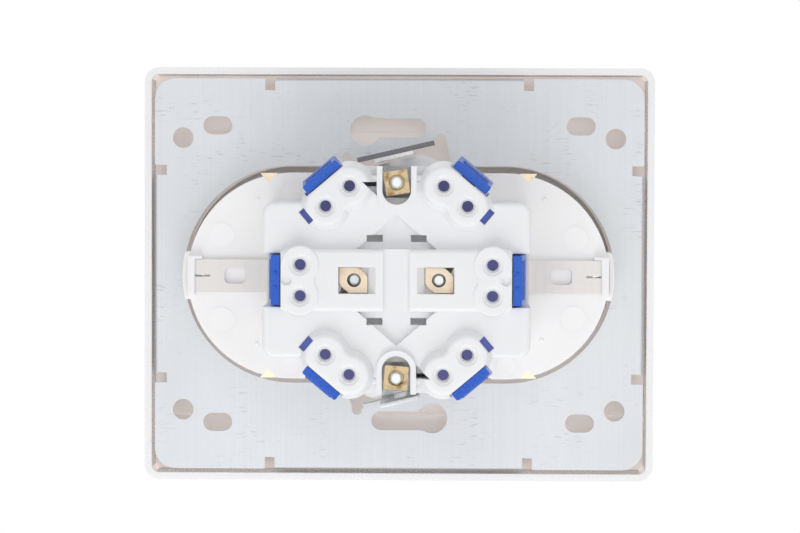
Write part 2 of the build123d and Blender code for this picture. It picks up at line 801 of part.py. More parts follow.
nodes = {
    "cover_frame": make_cover_frame(),
    "mounting_plate": make_mounting_plate(),
    "socket_insert": make_socket_insert(),
    "rear_housing": make_rear_housing(),
    "live_busbar": make_busbar(1),
    "neutral_busbar": make_busbar(-1),
    "earth_strap": make_earth_strap(),
    "leaf_nut_left": make_leaf_nut(-1),
    "leaf_nut_right": make_leaf_nut(1),
    "face_screw_left": make_face_screw(-1, lobe_rear - 4.6),
    "face_screw_right": make_face_screw(1, lobe_rear - 3.2),
    "claw_nut_top": make_claw_nut(top_nut_turn),
    "claw_nut_bottom": Rot(Y=180) * make_claw_nut(bottom_nut_turn),
}
for t in terminals:
    nodes[f"release_lever_{t.name}"] = make_release_lever(t)
    nodes[f"clamp_spring_{t.name}"] = make_clamp_spring(t)
for across, u in (("left", -well_u), ("right", well_u)):
    for level, v in (("upper", pin_v), ("lower", -pin_v)):
        nodes[f"pin_contact_{level}_{across}"] = make_pin_contact(u, v)
for end, copy in zip(("top", "bottom"), both(make_claw())):
    nodes[f"claw_{end}"] = copy
for end, copy in zip(("top", "bottom"), both(make_claw_screw())):
    nodes[f"claw_screw_{end}"] = copy

for name, shape in nodes.items():
    shape.label = name
    export_step(shape, f"parts/{name}.step")
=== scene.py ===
"""Looks of a flush-mounted double wall socket, seen from its wall side.

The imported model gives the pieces; this script dresses them, adds the small moulded and threaded
detail, and sets the camera, the lights and the floor.
"""

import json
import logging
import math
from contextlib import contextmanager
from dataclasses import dataclass, field
from enum import Enum
from typing import Callable, Iterable, Iterator

import bpy
from mathutils import Matrix, Vector

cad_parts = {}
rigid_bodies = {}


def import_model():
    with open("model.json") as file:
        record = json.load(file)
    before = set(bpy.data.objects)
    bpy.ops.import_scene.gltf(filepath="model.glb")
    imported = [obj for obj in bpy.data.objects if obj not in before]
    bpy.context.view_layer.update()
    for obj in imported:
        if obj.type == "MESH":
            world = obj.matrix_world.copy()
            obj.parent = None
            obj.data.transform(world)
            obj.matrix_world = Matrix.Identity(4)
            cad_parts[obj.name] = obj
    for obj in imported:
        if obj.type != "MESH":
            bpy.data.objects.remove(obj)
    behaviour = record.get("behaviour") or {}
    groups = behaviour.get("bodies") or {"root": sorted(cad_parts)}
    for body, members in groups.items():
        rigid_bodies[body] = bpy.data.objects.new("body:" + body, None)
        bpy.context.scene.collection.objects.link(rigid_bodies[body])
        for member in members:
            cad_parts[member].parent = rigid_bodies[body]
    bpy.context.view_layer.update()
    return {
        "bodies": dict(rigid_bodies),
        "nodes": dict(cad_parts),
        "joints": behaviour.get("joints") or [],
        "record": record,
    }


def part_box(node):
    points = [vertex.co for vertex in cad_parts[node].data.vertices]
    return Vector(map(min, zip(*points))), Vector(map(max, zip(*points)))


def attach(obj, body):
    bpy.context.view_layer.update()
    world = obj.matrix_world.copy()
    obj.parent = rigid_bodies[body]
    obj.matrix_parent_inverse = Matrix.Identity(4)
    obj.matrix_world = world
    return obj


log = logging.getLogger("double_wall_socket")

MM = 0.001
Colour = tuple[float, float, float]
FaceTest = Callable[[bpy.types.MeshPolygon], bool]
FACING = 0.9  # least part of a face's normal along the axis that it faces


def seen(u: float, depth: float, v: float) -> Vector:
    """Point in metres from millimetres as seen from behind: u to the right, depth rearwards, v up."""
    return Vector((-u, depth, v)) * MM


class Coat(Enum):
    """How a moulded surface was left by its tool."""

    POLISHED = 0.0
    SATIN = 0.5
    SPARKED = 1.0


# Node groups shared by the finishes

GROUP_RESULTS = {"Colour": "NodeSocketColor", "Roughness": "NodeSocketFloat", "Height": "NodeSocketFloat"}


@dataclass
class Wiring:
    """A small helper that adds nodes to a tree and links them."""

    tree: bpy.types.NodeTree

    def node(self, kind: str, **settings: object) -> bpy.types.Node:
        """Add a node and set its properties.

        Args:
            kind: the node's type.
            **settings: its properties by name.

        Returns:
            The node.
        """
        made = self.tree.nodes.new(kind)
        for name, value in settings.items():
            setattr(made, name, value)
        return made

    def link(self, source: bpy.types.NodeSocket, target: bpy.types.NodeSocket) -> None:
        """Join an output to an input."""
        self.tree.links.new(source, target)

    def place(self) -> bpy.types.NodeOutputs:
        """Object coordinates, one output for each axis.

        Returns:
            The outputs X, Y and Z.
        """
        made = self.node("ShaderNodeSeparateXYZ")
        self.link(self.node("ShaderNodeTexCoord").outputs["Object"], made.inputs[0])
        return made.outputs

    def math(self, operation: str, first: object, second: object = None) -> bpy.types.NodeSocket:
        """Add a Math node.

        Args:
            operation: the node's operation.
            first: a socket or a number.
            second: a socket, a number or nothing.

        Returns:
            The node's output.
        """
        made = self.node("ShaderNodeMath", operation=operation)
        for slot, value in enumerate((first, second)):
            if isinstance(value, bpy.types.NodeSocket):
                self.link(value, made.inputs[slot])
            elif value is not None:
                made.inputs[slot].default_value = value
        return made.outputs[0]

    def noise(self, vector: bpy.types.NodeSocket, scale: object, detail: float) -> bpy.types.NodeSocket:
        """Add a noise texture and give its factor.

        Args:
            vector: the place.
            scale: a number or a socket.
            detail: octaves of the noise.

        Returns:
            The factor's socket.
        """
        made = self.node("ShaderNodeTexNoise")
        made.inputs["Detail"].default_value = detail
        self.link(vector, made.inputs["Vector"])
        if isinstance(scale, bpy.types.NodeSocket):
            self.link(scale, made.inputs["Scale"])
        else:
            made.inputs["Scale"].default_value = scale
        return made.outputs["Fac"]

    def stretch(self, vector: bpy.types.NodeSocket, scale: Colour) -> bpy.types.NodeSocket:
        """Scale a place by another amount on each axis.

        Args:
            vector: the place.
            scale: the three factors.

        Returns:
            The scaled place.
        """
        made = self.node("ShaderNodeVectorMath", operation="MULTIPLY")
        self.link(vector, made.inputs[0])
        made.inputs[1].default_value = scale
        return made.outputs[0]

    def spread(
        self, value: bpy.types.NodeSocket, low: float, high: float, to_low: object, to_high: object
    ) -> bpy.types.NodeSocket:
        """Map a value from one range to another, clamped.

        Args:
            value: the value to map.
            low: start of its range.
            high: end of its range.
            to_low: result at the start, a number or a socket.
            to_high: result at the end, a number or a socket.

        Returns:
            The mapped value's socket.
        """
        made = self.node("ShaderNodeMapRange")
        self.link(value, made.inputs["Value"])
        made.inputs["From Min"].default_value = low
        made.inputs["From Max"].default_value = high
        for name, wanted in (("To Min", to_low), ("To Max", to_high)):
            if isinstance(wanted, bpy.types.NodeSocket):
                self.link(wanted, made.inputs[name])
            else:
                made.inputs[name].default_value = wanted
        return made.outputs[0]

    def tint(self, factor: bpy.types.NodeSocket, first: object, second: object) -> bpy.types.NodeSocket:
        """Mix two colours, each a socket or three numbers, by a factor and give the result.

        Args:
            factor: nought for the first colour, one for the second.
            first: the first colour.
            second: the second colour.

        Returns:
            The mixed colour's socket.
        """
        made = self.node("ShaderNodeMix", data_type="RGBA", blend_type="MIX")
        self.link(factor, made.inputs[0])
        for slot, value in ((6, first), (7, second)):
            if isinstance(value, bpy.types.NodeSocket):
                self.link(value, made.inputs[slot])
            else:
                made.inputs[slot].default_value = (*value, 1.0)
        return made.outputs[2]


@dataclass
class GroupStart:
    """The empty node group of a surface, which gives a colour, a roughness and a height."""

    tree: bpy.types.NodeTree
    wiring: Wiring
    given: bpy.types.NodeOutputs
    result: bpy.types.NodeInputs
    place: bpy.types.NodeSocket


def start_group(name: str, inputs: dict[str, object]) -> GroupStart:
    """Start a shader node group.

    Args:
        name: the group's name.
        inputs: name and default of each input, a float or a colour with its alpha.

    Returns:
        The group with its wiring, its inputs, its results and the Object coordinates.
    """
    tree = bpy.data.node_groups.new(name, "ShaderNodeTree")
    for title, value in inputs.items():
        kind = "NodeSocketFloat" if isinstance(value, float) else "NodeSocketColor"
        tree.interface.new_socket(title, in_out="INPUT", socket_type=kind).default_value = value
    for title, kind in GROUP_RESULTS.items():
        tree.interface.new_socket(title, in_out="OUTPUT", socket_type=kind)
    w = Wiring(tree)
    given = w.node("NodeGroupInput").outputs
    result = w.node("NodeGroupOutput").inputs
    return GroupStart(tree, w, given, result, w.node("ShaderNodeTexCoord").outputs["Object"])


def make_moulding_group() -> bpy.types.NodeTree:
    """Faint flow marks, dust and a fine tool grain of a moulded surface.

    Returns:
        The node group.
    """
    start = start_group("moulded_surface", {
        "Colour": (0.8, 0.8, 0.8, 1.0),
        "Shade": (0.7, 0.7, 0.7, 1.0),
        "Roughness": 0.4,
        "Grain Scale": 2500.0,
    })
    w, given, result, place = start.wiring, start.given, start.result, start.place
    flow = w.noise(place, 34.0, 3.0)
    cloud = w.spread(flow, 0.42, 0.72, 0.0, 0.5)
    pores = w.noise(place, given["Grain Scale"], 2.0)
    w.link(w.tint(cloud, given["Colour"], given["Shade"]), result["Colour"])
    rough = w.math("ADD", given["Roughness"], w.spread(pores, 0.3, 0.7, -0.05, 0.06))
    w.link(w.math("ADD", rough, w.spread(flow, 0.3, 0.7, -0.03, 0.03)), result["Roughness"])
    w.link(pores, result["Height"])
    return start.tree


def make_zinc_group() -> bpy.types.NodeTree:
    """Zinc coat: clustered dark rolling dashes, faint drawn lines and a quiet cloud of tone.

    Returns:
        The node group.
    """
    start = start_group("zinc_coat", {
        "Light": (0.8, 0.8, 0.8, 1.0),
        "Dark": (0.6, 0.6, 0.6, 1.0),
        "Roughness": 0.4,
        "Dashes": 0.5,
        "Clouds": 0.3,
    })
    w, given, result, place = start.wiring, start.given, start.result, start.place
    fine = w.noise(place, 1500.0, 3.0)
    broad = w.noise(place, 38.0, 3.0)
    dash = w.noise(w.stretch(place, (420.0, 1200.0, 2600.0)), 1.0, 1.0)
    cluster = w.noise(place, 110.0, 2.0)
    sharp = w.spread(dash, 0.60, 0.70, 0.0, 1.0)
    dashes = w.math("MULTIPLY", sharp, w.spread(cluster, 0.50, 0.62, 0.0, 1.0))
    dashes = w.math("MULTIPLY", dashes, given["Dashes"])
    drawn = w.noise(w.stretch(place, (1900.0, 300.0, 14.0)), 1.0, 2.0)
    mixed = w.math("ADD", w.math("MULTIPLY", broad, 0.55), w.math("MULTIPLY", drawn, 0.3))
    mixed = w.math("ADD", mixed, w.math("MULTIPLY", fine, 0.15))
    clouds = w.math("MULTIPLY", w.spread(mixed, 0.38, 0.62, 0.0, 1.0), given["Clouds"])
    dark = w.math("MINIMUM", w.math("ADD", clouds, dashes), 1.0)
    w.link(w.tint(dark, given["Light"], given["Dark"]), result["Colour"])
    rough = w.spread(fine, 0.3, 0.7, -0.04, 0.05)
    w.link(w.math("ADD", given["Roughness"], rough), result["Roughness"])
    w.link(w.math("SUBTRACT", fine, w.math("MULTIPLY", dashes, 0.6)), result["Height"])
    return start.tree


def make_stain_group() -> bpy.types.NodeTree:
    """Dull brown patches and fine specks on bare brass.

    Returns:
        The node group.
    """
    start = start_group("brass_tarnish", {
        "Light": (0.8, 0.7, 0.5, 1.0),
        "Dark": (0.4, 0.25, 0.1, 1.0),
        "Roughness": 0.3,
        "Amount": 0.5,
    })
    w, given, result, place = start.wiring, start.given, start.result, start.place
    patch = w.spread(w.noise(place, 480.0, 4.0), 0.50, 0.66, 0.0, 1.0)
    speck = w.spread(w.noise(place, 2600.0, 2.0), 0.60, 0.70, 0.0, 0.6)
    worn = w.math("MULTIPLY", w.math("MAXIMUM", patch, speck), given["Amount"])
    w.link(w.tint(worn, given["Light"], given["Dark"]), result["Colour"])
    w.link(w.math("ADD", given["Roughness"], w.math("MULTIPLY", worn, 0.25)), result["Roughness"])
    w.link(w.noise(w.stretch(place, (700.0, 4000.0, 700.0)), 1.0, 2.0), result["Height"])
    return start.tree


GROUPS: dict[str, Callable[[], bpy.types.NodeTree]] = {
    "moulded_surface": make_moulding_group,
    "zinc_coat": make_zinc_group,
    "brass_tarnish": make_stain_group,
}


def shared_group(w: Wiring, name: str, values: dict[str, object]) -> bpy.types.NodeOutputs:
    """Place a shared node group in a material, building it the first time.

    Args:
        w: the material's wiring.
        name: the group's name.
        values: its inputs, each a number or a colour of three numbers.

    Returns:
        The group's results.
    """
    tree = bpy.data.node_groups.get(name) or GROUPS[name]()
    placed = w.node("ShaderNodeGroup")
    placed.node_tree = tree
    for title, value in values.items():
        placed.inputs[title].default_value = (*value, 1.0) if isinstance(value, tuple) else value
    return placed.outputs


# Finishes

PLASTIC_RELIEF_MM = 0.002  # depth of the grain on a polished moulding
SPARK_RELIEF_MM = 0.01  # what a fully sparked tool adds to it
METAL_RELIEF_MM = 0.004
GLOW_FADE_MM = 1.5
# Painted shade: near-black tone for the turned-back upper lug, which is the same steel as the bright lower
# lug.
LUG_PAINTED_SHADE = (0.22, 0.22, 0.24)


def blank_material(name: str) -> tuple[bpy.types.Material, Wiring, bpy.types.Node]:
    """Start a material that has only its Principled shader and output.

    Args:
        name: the material's name.

    Returns:
        The material, its wiring and its shader.
    """
    material = bpy.data.materials.new(name)
    material.use_nodes = True
    w = Wiring(material.node_tree)
    return material, w, material.node_tree.nodes["Principled BSDF"]


def apply_surface(
    w: Wiring,
    shader: bpy.types.Node,
    colour: bpy.types.NodeSocket,
    surface: bpy.types.NodeOutputs,
    depth_mm: float,
) -> None:
    """Feed a surface group to the shader.

    Args:
        w: the material's wiring.
        shader: the Principled shader.
        colour: the final colour.
        surface: the group's results, for the roughness and the height.
        depth_mm: depth of the relief.
    """
    w.link(colour, shader.inputs["Base Color"])
    w.link(surface["Roughness"], shader.inputs["Roughness"])
    bump = w.node("ShaderNodeBump")
    bump.inputs["Strength"].default_value = 1.0
    bump.inputs["Distance"].default_value = depth_mm * MM
    w.link(surface["Height"], bump.inputs["Height"])
    w.link(bump.outputs[0], shader.inputs["Normal"])


@dataclass(frozen=True)
class Glow:
    """Painted light: a weak emission inside a box round the object's middle, standing in for light that
    comes through thin walls.
    """

    colour: Colour
    half_width_mm: float
    half_height_mm: float
    front_mm: float
    rear_mm: float
    lift: float = 0.0
    edge: float = 1.0

    def add(self, w: Wiring, shader: bpy.types.Node) -> None:
        """Feed the glow to the shader.

        Args:
            w: the material's wiring.
            shader: the Principled shader; lift makes the painted glow stronger towards the bottom, and edge
                makes it stronger towards the rim of the box.
        """
        place = w.place()
        width = self.half_width_mm * MM
        height = self.half_height_mm * MM
        sideways = w.math("ABSOLUTE", place["X"])
        upwards = w.math("ABSOLUTE", place["Z"])
        box = w.math("MULTIPLY", w.math("LESS_THAN", sideways, width), w.math("LESS_THAN", upwards, height))
        behind = w.math("GREATER_THAN", place["Y"], self.front_mm * MM)
        fade = w.spread(place["Y"], (self.rear_mm - GLOW_FADE_MM) * MM, self.rear_mm * MM, 1.0, 0.0)
        inside = w.math("MULTIPLY", box, w.math("MULTIPLY", behind, fade))
        rise = w.spread(place["Z"], -height, height, 1.0 + self.lift, 1.0 - self.lift)
        beside = w.spread(sideways, width * 0.96, width * 0.98, 1.0, self.edge)
        above = w.spread(upwards, height * 0.95, height * 0.98, 1.0, self.edge)
        rise = w.math("MULTIPLY", rise, w.math("MAXIMUM", beside, above))
        shader.inputs["Emission Color"].default_value = (*self.colour, 1.0)
        w.link(w.math("MULTIPLY", inside, rise), shader.inputs["Emission Strength"])


@dataclass(frozen=True)
class Plastic:
    """Moulded plastic in one colour."""

    name: str
    colour: Colour
    shade: Colour
    roughness: float = 0.35
    coat: Coat = Coat.SATIN
    depth_mm: float = 0.0
    glow: Glow | None = None

    def material(self) -> bpy.types.Material:
        """Build the material.

        Returns:
            The material.
        """
        material, w, shader = blank_material(self.name)
        surface = shared_group(w, "moulded_surface", {
            "Colour": self.colour,
            "Shade": self.shade,
            "Roughness": self.roughness,
        })
        shader.inputs["IOR"].default_value = 1.5
        if self.depth_mm:
            shader.inputs["Subsurface Weight"].default_value = 0.35
            shader.inputs["Subsurface Radius"].default_value = (1.0, 0.9, 0.8)
            shader.inputs["Subsurface Scale"].default_value = self.depth_mm * MM
        if self.glow:
            self.glow.add(w, shader)
        relief = PLASTIC_RELIEF_MM + SPARK_RELIEF_MM * self.coat.value
        apply_surface(w, shader, surface["Colour"], surface, relief)
        return material


@dataclass(frozen=True)
class Zinc:
    """Zinc-coated steel sheet or wire."""

    name: str
    light: Colour
    dark: Colour
    roughness: float = 0.42
    metallic: float = 0.75
    dashes: float = 0.5
    clouds: float = 0.3
    lug_shade: float = 0.0
    lug_mm: float = 0.5
    glow: Glow | None = None

    def material(self) -> bpy.types.Material:
        """Build the material; where the lug shade is above nought, the turned-back upper lug is painted
        dark as shade, and the lower lug is left bright.

        Returns:
            The material.
        """
        material, w, shader = blank_material(self.name)
        coat = shared_group(w, "zinc_coat", {
            "Light": self.light,
            "Dark": self.dark,
            "Roughness": self.roughness,
            "Dashes": self.dashes,
            "Clouds": self.clouds,
        })
        colour = coat["Colour"]
        # Painted shade: only the rear part of the upper lug is darkened.
        if self.lug_shade:
            place = w.place()
            rear = w.math("GREATER_THAN", place["Y"], self.lug_mm * MM)
            upper = w.math("MULTIPLY", w.math("GREATER_THAN", place["Z"], 0.0), self.lug_shade)
            colour = w.tint(w.math("MULTIPLY", rear, upper), colour, LUG_PAINTED_SHADE)
        shader.inputs["Metallic"].default_value = self.metallic
        if self.glow:
            self.glow.add(w, shader)
        apply_surface(w, shader, colour, coat, METAL_RELIEF_MM)
        return material


@dataclass(frozen=True)
class Brass:
    """Bare brass with a little tarnish."""

    name: str
    light: Colour
    dark: Colour
    roughness: float = 0.3
    amount: float = 0.5

    def material(self) -> bpy.types.Material:
        """Build the material.

        Returns:
            The material.
        """
        material, w, shader = blank_material(self.name)
        skin = shared_group(w, "brass_tarnish", {
            "Light": self.light,
            "Dark": self.dark,
            "Roughness": self.roughness,
            "Amount": self.amount,
        })
        shader.inputs["Metallic"].default_value = 0.9
        apply_surface(w, shader, skin["Colour"], skin, METAL_RELIEF_MM)
        return material


# Painted warm light on the frame's inner faces round the gaps by the plate, stronger at the rim of its box.
FRAME_GLOW = Glow((0.19, 0.16, 0.145), 50.6, 40.7, -8.5, -0.5, 0.0, 1.5)
# Painted light, faint, on the rear faces of the insert and its moulded marks, a little stronger towards the
# bottom.
INSERT_GLOW = Glow((0.02, 0.016, 0.014), 60.0, 60.0, 6.0, 10.0, 0.1)
# Painted blue light in the wire holes and test slots, on the springs and tongues, much stronger towards the
# bottom.
HOLLOW_GLOW = Glow((0.075, 0.078, 0.19), 60.0, 60.0, 0.0, 40.0, 0.6)
# Painted warm light on the notch ramps.
NOTCH_GLOW = Glow((0.22, 0.15, 0.08), 60.0, 60.0, 0.0, 12.0)
WARM_WHITE = (0.95, 0.945, 0.935)
WARM_SHADE = (0.93, 0.925, 0.915)
FRAME_PLASTIC = Plastic(
    "frame_plastic", (0.90, 0.90, 0.90), (0.87, 0.87, 0.87), 0.28, Coat.POLISHED, 1.2, FRAME_GLOW
)
INSERT_PLASTIC = Plastic("insert_plastic", WARM_WHITE, WARM_SHADE, 0.38, Coat.SATIN, 1.2, INSERT_GLOW)
HOUSING_PLASTIC = Plastic(
    "housing_plastic", (0.88, 0.885, 0.895), (0.86, 0.865, 0.88), 0.42, Coat.SATIN, 1.0
)
LEVER_BLUE = Plastic("lever_blue", (0.012, 0.10, 0.55), (0.02, 0.16, 0.70), 0.3, Coat.SPARKED)
ZINC_PLATE = Zinc("zinc_plate", (0.745, 0.765, 0.785), (0.55, 0.57, 0.60), 0.5, 0.3, 0.7, 0.25, 1.0)
STRAP_METAL = Zinc("strap_metal", (0.82, 0.79, 0.765), (0.70, 0.65, 0.60), 0.5, 0.3, 0.2, 0.3)
CLAW_STEEL = Zinc("claw_steel", (0.70, 0.71, 0.72), (0.45, 0.45, 0.47), 0.4, 0.6, 0.4, 0.4)
SCREW_STEEL = Zinc("screw_steel", (0.84, 0.88, 0.90), (0.70, 0.74, 0.76), 0.35, 0.8, 0.0, 0.3)
# The springs' dark bluish colours are painted shade of the deep wire holes, not the colour of bare spring
# steel.
SPRING_STEEL = Zinc(
    "spring_steel", (0.20, 0.20, 0.26), (0.15, 0.15, 0.2), 0.4, 0.6, 0.0, 0.3, glow=HOLLOW_GLOW
)
BRASS = Brass("brass", (0.74, 0.56, 0.32), (0.45, 0.28, 0.12), 0.3, 0.4)
LEAF_BRASS = Brass("leaf_brass", (0.78, 0.66, 0.52), (0.66, 0.48, 0.30), 0.45, 0.35)
NUT_BRASS = Brass("nut_brass", (0.62, 0.49, 0.30), (0.22, 0.11, 0.04), 0.42, 0.75)
MARK_PLASTIC = Plastic("mark_plastic", WARM_WHITE, WARM_SHADE, 0.38, Coat.SATIN, 0.0, INSERT_GLOW)
# Painted warm light: the notch ramps are tinted warm orange where the white insert only catches warm light
# in its notches, and they glow as well.
NOTCH_PAINTED_LIGHT = Plastic(
    "notch_painted_light", (0.99, 0.84, 0.66), (0.97, 0.80, 0.60), 0.5, Coat.SATIN, 1.2, NOTCH_GLOW
)
# Blue of the test tongues, with painted blue light from the hollow glow.
DEEP_BLUE = Plastic("deep_blue", (0.02, 0.10, 0.50), (0.03, 0.12, 0.5), 0.4, Coat.SATIN, 0.0, HOLLOW_GLOW)
FINISHES = (
    NOTCH_PAINTED_LIGHT,
    MARK_PLASTIC,
    DEEP_BLUE,
    FRAME_PLASTIC,
    INSERT_PLASTIC,
    HOUSING_PLASTIC,
    LEVER_BLUE,
    ZINC_PLATE,
    STRAP_METAL,
    CLAW_STEEL,
    SCREW_STEEL,
    SPRING_STEEL,
    BRASS,
    LEAF_BRASS,
    NUT_BRASS,
)


@dataclass
class Dressing:
    """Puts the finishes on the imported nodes, by the record's material slots."""

    frame: dict
    made: dict[str, bpy.types.Material] = field(default_factory=dict)

    def build(self) -> None:
        """Make every finish once."""
        for finish in FINISHES:
            self.made[finish.name] = finish.material()

    def dress_nodes(self) -> None:
        """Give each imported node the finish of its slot."""
        slots = {s["node"]: s["material_slot"] for s in self.frame["record"]["subparts"]}
        for name, node in self.frame["nodes"].items():
            node.data.materials.clear()
            node.data.materials.append(self.made[slots[name]])
            log.info("dressed %s in %s", name, slots[name])

    def dress_piece(self, piece: bpy.types.Object, slot: str, body: str, finish: str = "") -> None:
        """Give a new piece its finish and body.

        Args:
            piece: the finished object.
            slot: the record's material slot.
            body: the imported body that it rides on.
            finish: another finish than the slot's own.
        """
        piece.data.materials.clear()
        piece.data.materials.append(self.made[finish or slot])
        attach(piece, body)
        log.info("made %s, which rides on %s", piece.name, body)


# Modelling by hand


@contextmanager
def editing(piece: bpy.types.Object) -> Iterator[None]:
    """Edit mode on one piece, in face selection.

    Args:
        piece: the object to edit.

    Yields:
        Nothing; the piece is back in object mode afterwards.
    """
    bpy.ops.object.select_all(action="DESELECT")
    piece.select_set(True)
    bpy.context.view_layer.objects.active = piece
    bpy.ops.object.mode_set(mode="EDIT")
    bpy.ops.mesh.select_mode(type="FACE")
    yield
    bpy.ops.object.mode_set(mode="OBJECT")


def settle(name: str) -> bpy.types.Object:
    """Name the newest object and put its place in its mesh.

    Args:
        name: the object's name.

    Returns:
        The object.
    """
    piece = bpy.context.active_object
    piece.name = name
    bpy.ops.object.transform_apply(location=True, rotation=True, scale=True)
    return piece


def start_box(name: str, low: Vector, high: Vector) -> bpy.types.Object:
    """Start a piece from a cuboid between two corners.

    Args:
        name: the piece's name.
        low: one corner in metres.
        high: the opposite corner.

    Returns:
        The piece, to be shaped further.
    """
    bpy.ops.object.select_all(action="DESELECT")
    spans = [abs(b - a) for a, b in zip(low, high)]
    bpy.ops.mesh.primitive_cube_add(size=1.0, location=(low + high) / 2, scale=spans)
    return settle(name)


def start_disc(
    name: str, centre: Vector, radius_mm: float, depth_mm: float, sides: int = 48
) -> bpy.types.Object:
    """Start a piece from a flat cylinder whose axis runs rearwards.

    Args:
        name: the piece's name.
        centre: its middle in metres.
        radius_mm: its radius.
        depth_mm: its length along the axis.
        sides: number of sides of its rim.

    Returns:
        The piece, to be shaped further.
    """
    bpy.ops.object.select_all(action="DESELECT")
    bpy.ops.mesh.primitive_cylinder_add(
        vertices=sides,
        radius=radius_mm * MM,
        depth=depth_mm * MM,
        location=centre,
        rotation=(math.pi / 2, 0.0, 0.0),
    )
    return settle(name)


def pick_faces(piece: bpy.types.Object, wanted: FaceTest) -> None:
    """Select the faces that pass a test, and nothing else.

    Args:
        piece: the object, in object mode.
        wanted: test of a face by its place or normal.
    """
    with editing(piece):
        bpy.ops.mesh.select_all(action="DESELECT")
    for face in piece.data.polygons:
        face.select = wanted(face)


def inset_rear(piece: bpy.types.Object, rim_mm: float, sink_mm: float) -> None:
    """Sink the middle of a disc's rear face and leave a rim.

    Args:
        piece: the disc.
        rim_mm: width of the rim.
        sink_mm: depth of the middle.
    """
    pick_faces(piece, lambda f: f.normal.y > FACING)
    with editing(piece):
        bpy.ops.mesh.inset(thickness=rim_mm * MM)
        bpy.ops.mesh.extrude_region_move(TRANSFORM_OT_translate={"value": seen(0, -sink_mm, 0)})


def extrude(piece: bpy.types.Object, wanted: FaceTest, move: Vector) -> None:
    """Pull the picked faces out.

    Args:
        piece: the object.
        wanted: test of the faces to pull.
        move: how far, in metres.
    """
    pick_faces(piece, wanted)
    with editing(piece):
        bpy.ops.mesh.extrude_region_move(TRANSFORM_OT_translate={"value": move})


def slice_across(piece: bpy.types.Object, point: Vector, normal: Vector) -> None:
    """Cut new edges through the whole piece, without removing anything.

    Args:
        piece: the object.
        point: a point of the cutting plane in metres.
        normal: its normal.
    """
    with editing(piece):
        bpy.ops.mesh.select_all(action="SELECT")
        bpy.ops.mesh.bisect(plane_co=point, plane_no=normal)


def soften(piece: bpy.types.Object, width_mm: float, segments: int = 2) -> None:
    """Round the sharp edges and shade the piece smooth across them.

    Args:
        piece: the object.
        width_mm: width of the rounding.
        segments: faces across it.
    """
    bevel = piece.modifiers.new("edges", "BEVEL")
    bevel.width = width_mm * MM
    bevel.segments = segments
    bevel.limit_method = "ANGLE"
    with editing(piece):
        bpy.ops.mesh.select_all(action="SELECT")
    bpy.ops.object.modifier_apply(modifier=bevel.name)
    bpy.ops.object.shade_smooth_by_angle(angle=math.radians(40))


def axes_place(x_axis: Vector, y_axis: Vector, origin: Vector) -> Matrix:
    """Matrix from a part's own axes to the frame's; the part's z runs rearwards.

    Args:
        x_axis: the part's x axis in the frame.
        y_axis: its y axis.
        origin: its origin in metres.

    Returns:
        The matrix.
    """
    turn = Matrix((x_axis, y_axis, Vector((0.0, 1.0, 0.0)))).transposed().to_4x4()
    return Matrix.Translation(origin) @ turn


def copy_piece(piece: bpy.types.Object, name: str, place: Matrix) -> bpy.types.Object:
    """Copy a piece with its own mesh, and carry the mesh to another place.

    Args:
        piece: the object to copy.
        name: the copy's name.
        place: the matrix that carries the mesh; a mirror turns the faces back outwards.

    Returns:
        The copy.
    """
    twin = piece.copy()
    twin.data = piece.data.copy()
    twin.name = name
    bpy.context.scene.collection.objects.link(twin)
    twin.data.transform(place)
    if place.determinant() < 0:
        twin.data.flip_normals()
    return twin


@dataclass
class SnapBrackets:
    """Moulded brackets that hold both ends of the earth strap to the wells."""

    inner_mm: float = 41.0
    outer_mm: float = 42.5
    half_mm: float = 4.05
    leg_mm: float = 3.42
    strap_mm: float = 0.92
    rise_mm: float = 1.0
    arm_mm: float = 1.55
    round_mm: float = 0.16

    def build(self, dressing: Dressing, floor_mm: float) -> None:
        """Model one bracket and mirror it to the other end.

        Args:
            dressing: gives the finish.
            floor_mm: depth of the wells' rear face.
        """
        over = floor_mm + self.strap_mm
        low = seen(self.outer_mm, over, -self.half_mm)
        high = seen(self.inner_mm, over + self.rise_mm, self.half_mm)
        piece = start_box("strap_bracket_right", low, high)
        for side in (-1, 1):
            slice_across(piece, seen(0, 0, side * self.leg_mm), Vector((0, 0, 1)))
        leg = self.leg_mm * MM
        extrude(piece, lambda f: f.normal.y < -FACING and abs(f.center.z) > leg, seen(0, -self.strap_mm, 0))
        inward = -self.inner_mm * MM - MM / 10
        extrude(
            piece,
            lambda f: f.normal.x > FACING and f.center.z > leg and f.center.x > inward,
            seen(-self.arm_mm, 0, 0),
        )
        soften(piece, self.round_mm)
        twin = copy_piece(piece, "strap_bracket_left", Matrix.Diagonal((-1, 1, 1, 1)))
        for made in (piece, twin):
            dressing.dress_piece(made, "insert_plastic", "socket")


